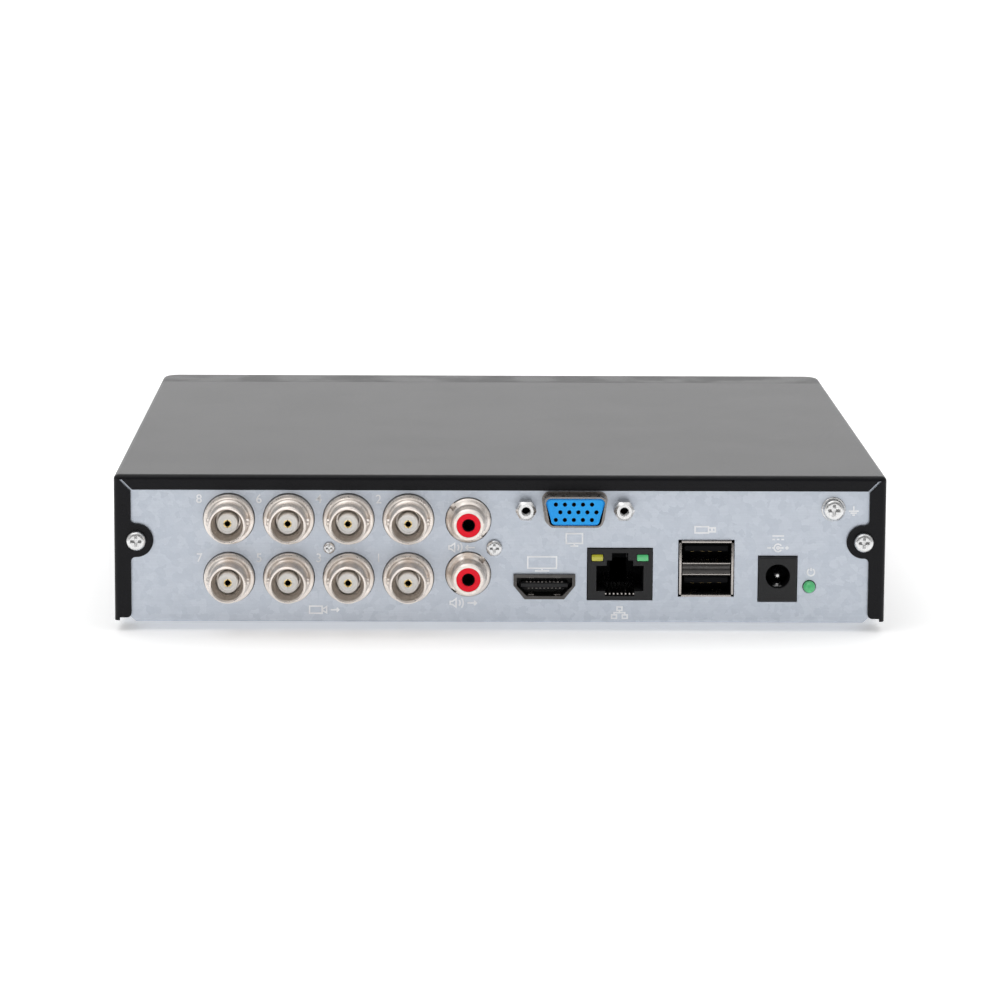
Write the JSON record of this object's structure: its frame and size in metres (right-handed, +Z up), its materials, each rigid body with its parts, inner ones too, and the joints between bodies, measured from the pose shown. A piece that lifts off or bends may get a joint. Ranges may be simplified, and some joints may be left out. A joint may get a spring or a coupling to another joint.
{
  "type": "dvr recorder",
  "caption": "Compact video recorder in a folded steel case: bayonet camera sockets, audio, monitor, network, data and power ports at the back, disk drive inside.",
  "frame": {"origin": "centre of the bounding box's bottom face, on the surface that the feet stand on", "axes": "+Z up, +Y out of the connector panel at the back, -Y out of the front bezel, +X towards the camera sockets"},
  "size_m": [0.197, 0.203, 0.0405],
  "materials": {
    "cover_paint": "fine black powder coat",
    "plated_steel": "bright zinc-plated sheet",
    "screw_steel": "nickel-plated",
    "nickel": "warm nickel plate",
    "gold": "gold flash",
    "bezel_plastic": "fine grained black",
    "window_plastic": "smoked, glossy",
    "rubber": "matt black",
    "white_plastic": "smooth",
    "red_plastic": "smooth",
    "blue_plastic": "smooth",
    "black_plastic": "moulded",
    "green_lens": "clear tinted",
    "yellow_lens": "clear tinted",
    "circuit_green": "solder mask",
    "chip_black": "moulded epoxy",
    "aluminium": "satin",
    "can_sleeve": "drawn can",
    "cable_jacket": "flexible",
    "wire_jacket": "flexible",
    "ribbon_jacket": "flexible",
    "cast_aluminium": "as cast",
    "lid_steel": "satin stainless",
    "mirror_disk": "polished",
    "marking_white": "printed ink",
    "marking_black": "printed ink"
  },
  "bodies": {
    "case": {"base_tray": "plated_steel", "connector_screws": "screw_steel", "ground_screw": "screw_steel", "rubber_feet": "rubber", "front_bezel": "bezel_plastic", "light_window": "window_plastic", "front_board": "circuit_green", "front_lights": "white_plastic", "bnc_shells_1_2": "nickel", "bnc_shells_3_4": "nickel", "bnc_shells_5_6": "nickel", "bnc_shells_7_8": "nickel", "bnc_insulators": "white_plastic", "bnc_contacts": "gold", "bnc_blocks": "black_plastic", "audio_in_shell": "nickel", "audio_out_shell": "nickel", "audio_inserts": "red_plastic", "audio_block": "black_plastic", "monitor_port_shell": "nickel", "monitor_port_insert": "blue_plastic", "monitor_port_posts": "nickel", "monitor_port_block": "black_plastic", "digital_port_shell": "nickel", "digital_port_tongue": "black_plastic", "network_jack": "black_plastic", "network_lights": "yellow_lens", "network_contacts": "gold", "data_port_shell": "nickel", "data_port_tongues": "black_plastic", "power_jack": "black_plastic", "power_jack_pin": "nickel", "power_light": "green_lens", "main_board": "circuit_green", "board_standoffs": "screw_steel", "board_screws": "screw_steel", "board_chips": "chip_black", "heat_sink": "aluminium", "board_capacitors": "can_sleeve", "board_inductors": "chip_black", "battery_holder": "black_plastic", "clock_battery": "lid_steel", "buzzer": "black_plastic", "board_sockets": "black_plastic", "disk_data_cable": "cable_jacket", "disk_power_wires": "wire_jacket", "cable_plugs": "black_plastic", "front_cable": "ribbon_jacket", "disk_case": "cast_aluminium", "disk_lid": "lid_steel", "disk_lid_screws": "screw_steel", "disk_magnets": "screw_steel", "disk_board": "circuit_green", "disk_sockets": "black_plastic", "disk_screws": "screw_steel"},
    "cover": {"top_cover": "cover_paint", "cover_screws": "screw_steel"},
    "platters": {"disk_hub": "aluminium", "disk_platters": "mirror_disk"},
    "arm": {"disk_arm": "aluminium"}
  },
  "joints": [
    {"name": "cover_slide", "type": "slide", "parent": "case", "child": "cover", "axis": [0, 1, 0], "range_m": [0, 0.19]},
    {"name": "disk_spin", "type": "hinge", "parent": "case", "child": "platters", "pos_m": [0.0438, -0.03235, 0.0171], "axis": [0, 0, 1], "continuous": true},
    {"name": "arm_swing", "type": "hinge", "parent": "case", "child": "arm", "pos_m": [-0.00424, -0.06133, 0.0181], "axis": [0, 0, -1], "range_deg": [0, 31.5]}
  ]
}
